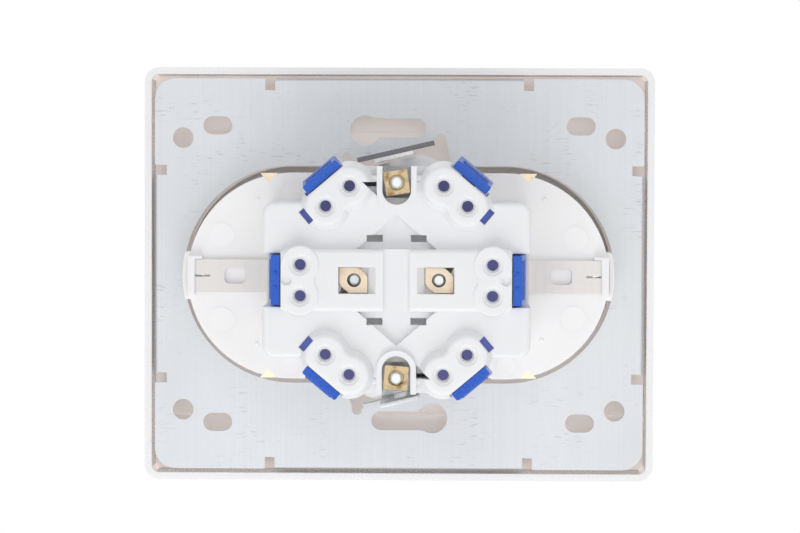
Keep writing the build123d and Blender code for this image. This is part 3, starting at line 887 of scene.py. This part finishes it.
@dataclass
class MouldMarks:
    """Ejector marks, small pips and notch ramps with painted warm light on the rear of the wells."""

    marks_mm: tuple[tuple[float, float, float], ...] = (
        (-35.7, 8.1, 2.6),
        (35.7, 7.6, 2.6),
        (-35.7, -9.0, 2.6),
        (35.3, -8.5, 2.6),
        (-21.8, 17.0, 2.0),
        (21.9, -18.2, 2.0),
        (-21.8, -18.2, 2.0),
    )
    pips_mm: tuple[tuple[float, float, float], ...] = (
        (-28.5, 15.4, 0.45),
        (29.5, 15.5, 0.45),
        (-28.5, -13.9, 0.45),
        (29.0, -12.9, 0.45),
    )
    mark_rise_mm: float = 0.05
    mark_rim_mm: float = 0.22
    mark_sink_mm: float = 0.03
    mark_round_mm: float = 0.01
    pip_rise_mm: float = 0.35
    pip_round_mm: float = 0.15
    notch_u_mm: float = 26.25
    notch_v_mm: float = 19.75
    notch_size_mm: float = 1.75
    notch_sink_mm: float = 1.6
    ramp_half_mm: float = 1.0
    ramp_depth_mm: float = 1.0
    ramp_foot: float = 0.12
    ramp_round_mm: float = 0.08

    def build(self, dressing: Dressing, floor_mm: float) -> None:
        """Model a mark, a pip and a ramp, and copy them to their places.

        Args:
            dressing: gives the finish.
            floor_mm: depth of the wells' rear face.
        """
        for number, (u, v, radius) in enumerate(self.marks_mm, 1):
            centre = seen(u, floor_mm, v)
            mark = start_disc(f"ejector_mark_{number}", centre, radius, 2 * self.mark_rise_mm)
            inset_rear(mark, self.mark_rim_mm, self.mark_sink_mm)
            soften(mark, self.mark_round_mm, 1)
            dressing.dress_piece(mark, "insert_plastic", "socket", MARK_PLASTIC.name)
        for number, (u, v, radius) in enumerate(self.pips_mm, 1):
            centre = seen(u, floor_mm, v)
            pip = start_disc(f"locating_pip_{number}", centre, radius, 2 * self.pip_rise_mm, 20)
            soften(pip, self.pip_round_mm, 3)
            dressing.dress_piece(pip, "insert_plastic", "socket", MARK_PLASTIC.name)
        self.build_ramps(dressing, floor_mm)

    def build_ramps(self, dressing: Dressing, floor_mm: float) -> None:
        """Sloping floors of the four outer notches, in painted warm light that stands in for light through
        the thin wall.

        Args:
            dressing: gives the finish.
            floor_mm: depth of the wells' rear face.
        """
        top = floor_mm - self.notch_sink_mm
        for u_side, v_side in ((-1, -1), (-1, 1), (1, -1), (1, 1)):
            u = u_side * self.notch_u_mm
            v = v_side * self.notch_v_mm
            size = self.notch_size_mm
            half = self.ramp_half_mm
            name = f"notch_ramp_{'lower' if v_side < 0 else 'upper'}_{'left' if u_side < 0 else 'right'}"
            low = seen(u + size, top - self.ramp_depth_mm, v - half)
            ramp = start_box(name, low, seen(u - size, top, v + half))
            pick_faces(ramp, lambda f, outward=v_side: f.normal.z * outward < -FACING)
            with editing(ramp):
                narrow = (self.ramp_foot, 1.0, 1.0)
                bpy.ops.transform.resize(value=narrow, center_override=seen(u, top, v))
                bpy.ops.transform.translate(value=seen(0, self.ramp_depth_mm / 2, 0))
            soften(ramp, self.ramp_round_mm)
            dressing.dress_piece(ramp, "insert_plastic", "socket", NOTCH_PAINTED_LIGHT.name)


@dataclass
class LeverGrips:
    """Finger ridges on the slope of each release lever, and two pips on the earth levers."""

    inner_mm: float = 3.95
    rear_thickness_mm: float = 1.75
    flare_mm: float = 1.15
    front_mm: float = 15.0
    rear_mm: float = 28.6
    ridge_mm: float = 0.42
    ridge_rise_mm: float = 0.16
    ridge_root_mm: float = 0.3
    ridge_round_mm: float = 0.1
    first_ridge_mm: float = 1.6
    ridge_pitch_mm: float = 1.25
    ridge_count: int = 5
    end_gap_mm: float = 1.0
    corner_mm: tuple[float, float] = (11.53, 16.47)
    corner_angle: float = 49.8
    corner_length_mm: float = 8.4
    earth_mm: float = 18.8
    earth_length_mm: float = 9.75
    pip_mm: float = 0.36
    pip_spread_mm: float = 1.4

    def places(self) -> Iterator[tuple[str, float, float, float, float]]:
        """Name the levers and where they are.

        Yields:
            Name, u, v, outward angle in degrees and length in millimetres of each lever.
        """
        yield "earth_left", -self.earth_mm, 0.0, 180.0, self.earth_length_mm
        yield "earth_right", self.earth_mm, 0.0, 0.0, self.earth_length_mm
        u, v = self.corner_mm
        yield "upper_left", -u, v, 180 - self.corner_angle, self.corner_length_mm
        yield "upper_right", u, v, self.corner_angle, self.corner_length_mm
        yield "lower_left", -u, -v, 180 + self.corner_angle, self.corner_length_mm
        yield "lower_right", u, -v, -self.corner_angle, self.corner_length_mm

    def carry(self, u: float, v: float, outward: float) -> Matrix:
        """Matrix from a lever's own axes, x along it, y outward and z rearwards, to the frame.

        Args:
            u: the lever's middle, to the right as seen from behind.
            v: its height.
            outward: angle in degrees at which it faces outwards.

        Returns:
            The matrix.
        """
        out = math.radians(outward)
        along = Vector((-math.sin(out), 0.0, -math.cos(out)))
        return axes_place(along, Vector((-math.cos(out), 0.0, math.sin(out))), seen(u, 0, v))

    def build(self, dressing: Dressing) -> None:
        """Model the ridges of every lever.

        Args:
            dressing: gives the finish.
        """
        for name, u, v, outward, length in self.places():
            place = self.carry(u, v, outward)
            half = length / 2 - self.end_gap_mm
            ridges = []
            for row in range(self.ridge_count):
                z = self.rear_mm - self.first_ridge_mm - row * self.ridge_pitch_mm
                slope = self.flare_mm * (self.rear_mm - z) / (self.rear_mm - self.front_mm)
                y = self.inner_mm + self.rear_thickness_mm + slope
                low = Vector((-half, y - self.ridge_root_mm, z - self.ridge_mm / 2)) * MM
                high = Vector((half, y + self.ridge_rise_mm, z + self.ridge_mm / 2)) * MM
                ridge = start_box(f"lever_ridge_{name}_{row}", low, high)
                soften(ridge, self.ridge_round_mm)
                ridges.append(ridge)
            if name.startswith("earth"):
                ridges += self.rear_pips(name)
            for ridge in ridges:
                ridge.data.transform(place)
            bpy.ops.object.select_all(action="DESELECT")
            for ridge in ridges:
                ridge.select_set(True)
            bpy.context.view_layer.objects.active = ridges[0]
            bpy.ops.object.join()
            ridges[0].name = f"lever_grip_{name}"
            dressing.dress_piece(ridges[0], "lever_blue", f"lever_{name}")

    def rear_pips(self, name: str) -> list[bpy.types.Object]:
        """Two round pips on the rear edge of an earth lever, in the lever's own axes.

        Args:
            name: the lever's name.

        Returns:
            The two pips.
        """
        made = []
        for side in (-1, 1):
            bpy.ops.object.select_all(action="DESELECT")
            y = self.inner_mm + self.rear_thickness_mm / 2
            place = Vector((side * self.pip_spread_mm, y, self.rear_mm)) * MM
            bpy.ops.mesh.primitive_uv_sphere_add(
                segments=16, ring_count=8, radius=self.pip_mm * MM, location=place
            )
            made.append(settle(f"lever_pip_{name}_{side}"))
            bpy.ops.object.shade_smooth()
        return made


@dataclass
class Thread:
    """Rolled thread of one screw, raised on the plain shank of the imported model."""

    name: str
    body: str
    u_mm: float
    v_mm: float
    shank_mm: float
    start_mm: float
    end_mm: float
    pitch_mm: float = 0.5
    rise_mm: float = 0.05
    steps: int = 20

    def build(self, dressing: Dressing) -> None:
        """Sweep a small triangle round and along the screw's axis.

        Args:
            dressing: gives the finish.
        """
        bpy.ops.object.select_all(action="DESELECT")
        axis = seen(self.u_mm, self.start_mm, self.v_mm)
        crest_mm = self.pitch_mm * 0.45
        bpy.ops.mesh.primitive_circle_add(vertices=3, radius=crest_mm * MM, location=axis)
        crest = bpy.context.active_object
        crest.name = self.name
        flatten = self.rise_mm / crest_mm
        with editing(crest):
            bpy.ops.mesh.select_all(action="SELECT")
            bpy.ops.transform.rotate(value=math.pi / 2, orient_axis="Z", center_override=axis)
            bpy.ops.transform.resize(value=(flatten, 1.0, 1.0), center_override=axis)
            bpy.ops.transform.translate(value=(self.shank_mm * MM, 0.0, 0.0))
        sweep = crest.modifiers.new("thread", "SCREW")
        sweep.axis = "Y"
        sweep.screw_offset = self.pitch_mm * MM
        sweep.iterations = max(1, round((self.end_mm - self.start_mm) / self.pitch_mm))
        sweep.steps = self.steps
        sweep.render_steps = self.steps
        bpy.ops.object.modifier_apply(modifier=sweep.name)
        bpy.ops.object.transform_apply(location=True, rotation=True, scale=True)
        bpy.ops.object.shade_smooth_by_angle(angle=math.radians(50))
        dressing.dress_piece(crest, "screw_steel", self.body)


@dataclass
class InnerDetail:
    """Small pieces that show in the housing's openings and at the claws' ends."""

    web_u_mm: tuple[float, float] = (3.95, 6.7)
    web_v_mm: tuple[float, float] = (14.0, 18.35)
    web_rear_mm: float = 25.7
    web_depth_mm: float = 1.0
    web_round_mm: float = 0.15
    shoulder_mm: tuple[float, float] = (1.08, 1.46)
    shoulder_rear_mm: float = 27.32
    shoulder_depth_mm: float = 0.2
    shoulder_sink_mm: float = 0.18
    shoulder_round_mm: float = 0.03
    screw_v_mm: float = 19.1
    slot_along_mm: float = 7.25
    slot_out_mm: float = 0.9
    slot_size_mm: tuple[float, float] = (1.25, 3.0)
    slot_rear_mm: float = 24.6
    tongue_depth_mm: float = 0.8
    tongue_round_mm: float = 0.1
    lug_middle_mm: tuple[float, float] = (-0.775, 25.65)
    lug_angle: float = 13.032
    claw_along_mm: tuple[float, float] = (-4.08, 3.68)
    claw_in_mm: tuple[float, float] = (-1.93, -1.17)
    claw_rear_mm: float = 24.0
    edge_root_mm: float = 0.55
    edge_rise_mm: float = 0.03
    edge_round_mm: float = 0.08

    def build(self, dressing: Dressing) -> None:
        """Model the pieces of the upper half and turn copies to the lower half.

        Args:
            dressing: gives the finishes.
        """
        half_turn = Matrix.Rotation(math.pi, 4, "Y")
        low_u, high_u = self.web_u_mm
        low_v, high_v = self.web_v_mm
        rear = self.web_rear_mm
        for side, word in ((-1, "left"), (1, "right")):
            low = seen(side * low_u, rear - self.web_depth_mm, low_v)
            web = start_box(f"guide_web_upper_{word}", low, seen(side * high_u, rear, high_v))
            soften(web, self.web_round_mm)
            dressing.dress_piece(web, "housing_plastic", "socket")
            twin = copy_piece(web, f"guide_web_lower_{word}", half_turn)
            dressing.dress_piece(twin, "housing_plastic", "socket")
        for end, side in (("top", 1), ("bottom", -1)):
            inner, outer = self.shoulder_mm
            depth = self.shoulder_depth_mm
            centre = seen(0, self.shoulder_rear_mm - depth / 2, side * self.screw_v_mm)
            ring = start_disc(f"screw_shoulder_{end}", centre, outer, depth)
            inset_rear(ring, outer - inner, self.shoulder_sink_mm)
            soften(ring, self.shoulder_round_mm)
            dressing.dress_piece(ring, "screw_steel", f"screw_{end}", NUT_BRASS.name)
        self.build_slots(dressing)
        self.build_claw_edges(dressing)

    def build_claw_edges(self, dressing: Dressing) -> None:
        """Bright sheared edge of each claw, which runs through its shallow notches.

        Args:
            dressing: gives the finish.
        """
        middle_u, middle_v = self.lug_middle_mm
        turn = math.radians(self.lug_angle)
        low_x, high_x = self.claw_along_mm
        low_y, high_y = self.claw_in_mm
        low = Vector((low_x, low_y, self.claw_rear_mm - self.edge_root_mm)) * MM
        high = Vector((high_x, high_y, self.claw_rear_mm + self.edge_rise_mm)) * MM
        edge = start_box("claw_edge_top", low, high)
        soften(edge, self.edge_round_mm)
        along = Vector((-math.cos(turn), 0.0, math.sin(turn)))
        upward = Vector((math.sin(turn), 0.0, math.cos(turn)))
        edge.data.transform(axes_place(along, upward, seen(middle_u, 0, middle_v)))
        dressing.dress_piece(edge, "claw_steel", "claw_top")
        twin = copy_piece(edge, "claw_edge_bottom", Matrix.Rotation(math.pi, 4, "Y"))
        dressing.dress_piece(twin, "claw_steel", "claw_bottom")

    def build_slots(self, dressing: Dressing) -> None:
        """Blue tongues that show at the bottom of the corner terminals' test slots.

        Args:
            dressing: gives the finish.
        """
        grips = LeverGrips()
        for name, u, v, outward, _ in grips.places():
            if name.startswith("earth"):
                continue
            side = 1 if u * v >= 0 else -1
            along, out = self.slot_size_mm
            middle = side * self.slot_along_mm
            front = self.slot_rear_mm - self.tongue_depth_mm
            low = Vector((middle - along / 2, self.slot_out_mm - out / 2, front)) * MM
            high = Vector((middle + along / 2, self.slot_out_mm + out / 2, self.slot_rear_mm)) * MM
            end = start_box(f"test_tongue_{name}", low, high)
            soften(end, self.tongue_round_mm)
            end.data.transform(grips.carry(u, v, outward))
            dressing.dress_piece(end, "lever_blue", "socket", DEEP_BLUE.name)


THREADS = (
    Thread("claw_thread_top", "screw_top", 0.0, 19.1, 1.43, 19.7, 27.0),
    Thread("claw_thread_bottom", "screw_bottom", 0.0, -19.1, 1.43, 19.7, 27.0),
    Thread("face_thread_left", "socket", -8.3, 0.0, 1.18, 23.0, 25.0, 0.4, 0.04),
    Thread("face_thread_right", "socket", 8.3, 0.0, 1.18, 23.0, 26.2, 0.4, 0.04),
)


@dataclass(frozen=True)
class Lamp:
    """A square soft lamp aimed at the object; its shine scales the highlights that it makes."""

    name: str
    place: tuple[float, float, float]
    size: float
    power: float
    shine: float = 0.3

    def add(self) -> None:
        """Put the lamp in the scene."""
        data = bpy.data.lights.new(self.name, "AREA")
        data.shape = "SQUARE"
        data.size = self.size
        data.energy = self.power
        data.specular_factor = self.shine
        lamp = bpy.data.objects.new(self.name, data)
        bpy.context.scene.collection.objects.link(lamp)
        place = Vector(self.place)
        aim = (-place).to_track_quat("-Z", "Y").to_matrix().to_4x4()
        lamp.matrix_world = Matrix.Translation(place) @ aim


LAMPS = (
    Lamp("key", (-0.3, 0.95, 0.3), 0.7, 0.85),
    Lamp("low", (0.05, 0.42, -0.42), 0.5, 1.4),
    Lamp("front", (0.4, -1.0, 0.6), 0.8, 3.6),
)


@dataclass
class Studio:
    """Camera, lamps, world and floor."""

    distance: float = 0.600
    rise_deg: float = 2.35
    side_deg: float = 1.0
    plate_scale_mm: float = 0.2045
    centre_px: tuple[float, float] = (398.9, 274.6)
    image_px: tuple[int, int] = (800, 533)
    roll_deg: float = 0.2
    floor_z: float = -0.7
    floor_size: float = 6.0
    floor_white: float = 0.985
    paper: Colour = (0.9, 0.9, 0.9)
    sky: Colour = (0.67, 0.67, 0.68)
    backdrop: Colour = (1.0, 1.0, 1.0)

    def add_camera(self) -> None:
        """Camera at the photograph's place, aimed at the middle of the mounting plate."""
        data = bpy.data.cameras.new("camera")
        camera = bpy.data.objects.new("camera", data)
        bpy.context.scene.collection.objects.link(camera)
        side = math.sin(math.radians(self.side_deg)) * self.distance
        rise = math.sin(math.radians(self.rise_deg)) * self.distance
        place = Vector((-side, self.distance, rise))
        turn = (-place).to_track_quat("-Z", "Y").to_matrix().to_4x4()
        roll = Matrix.Rotation(math.radians(self.roll_deg), 4, "Z")
        camera.matrix_world = Matrix.Translation(place) @ turn @ roll
        focal_px = self.distance / (self.plate_scale_mm * MM)
        data.sensor_width = 36.0
        data.lens = focal_px * data.sensor_width / self.image_px[0]
        wide, high = self.image_px
        data.shift_x = (wide / 2 - self.centre_px[0]) / wide
        data.shift_y = (self.centre_px[1] - high / 2) / wide
        data.clip_start = 0.01
        bpy.context.scene.camera = camera

    def bare_rays(self, w: Wiring) -> bpy.types.NodeSocket:
        """One for camera, glossy and transmission rays, and nought for the light on the object.

        Args:
            w: the tree's wiring.

        Returns:
            The mask's socket.
        """
        rays = w.node("ShaderNodeLightPath").outputs
        bare = w.math("MAXIMUM", rays["Is Camera Ray"], rays["Is Glossy Ray"])
        return w.math("MAXIMUM", bare, rays["Is Transmission Ray"])

    def add_world(self) -> None:
        """White to the camera and in reflections, a plain pale grey as light."""
        world = bpy.data.worlds.new("studio")
        bpy.context.scene.world = world
        world.use_nodes = True
        w = Wiring(world.node_tree)
        back = world.node_tree.nodes["Background"]
        w.link(w.tint(self.bare_rays(w), self.sky, self.backdrop), back.inputs["Color"])
        back.inputs["Strength"].default_value = 1.0

    def add_floor(self) -> None:
        """Pale floor under the object, white to the camera but for the object's shadow."""
        bpy.ops.mesh.primitive_plane_add(size=self.floor_size, location=(0, 0, self.floor_z))
        floor = bpy.context.active_object
        floor.name = "floor"
        material, w, shader = blank_material("floor_paper")
        shader.inputs["Base Color"].default_value = (*self.paper, 1.0)
        shader.inputs["Roughness"].default_value = 0.9
        glow = w.node("ShaderNodeEmission")
        blend = w.node("ShaderNodeMixShader")
        w.link(w.math("MULTIPLY", self.bare_rays(w), self.floor_white), blend.inputs[0])
        w.link(shader.outputs[0], blend.inputs[1])
        w.link(glow.outputs[0], blend.inputs[2])
        w.link(blend.outputs[0], material.node_tree.nodes["Material Output"].inputs["Surface"])
        floor.data.materials.append(material)

    def build(self) -> None:
        """Set the whole studio up."""
        bpy.context.scene.view_settings.view_transform = "Standard"
        self.add_camera()
        self.add_world()
        for lamp in LAMPS:
            lamp.add()
        self.add_floor()


def main() -> None:
    """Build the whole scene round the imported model."""
    logging.basicConfig(level=logging.INFO, format="%(message)s")
    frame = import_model()
    bpy.ops.object.select_all(action="DESELECT")
    dressing = Dressing(frame)
    dressing.build()
    dressing.dress_nodes()
    floor_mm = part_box("socket_insert")[1].y / MM
    SnapBrackets().build(dressing, floor_mm)
    MouldMarks().build(dressing, floor_mm)
    LeverGrips().build(dressing)
    InnerDetail().build(dressing)
    for thread in THREADS:
        thread.build(dressing)
    Studio().build()


if __name__ == "__main__":
    main()
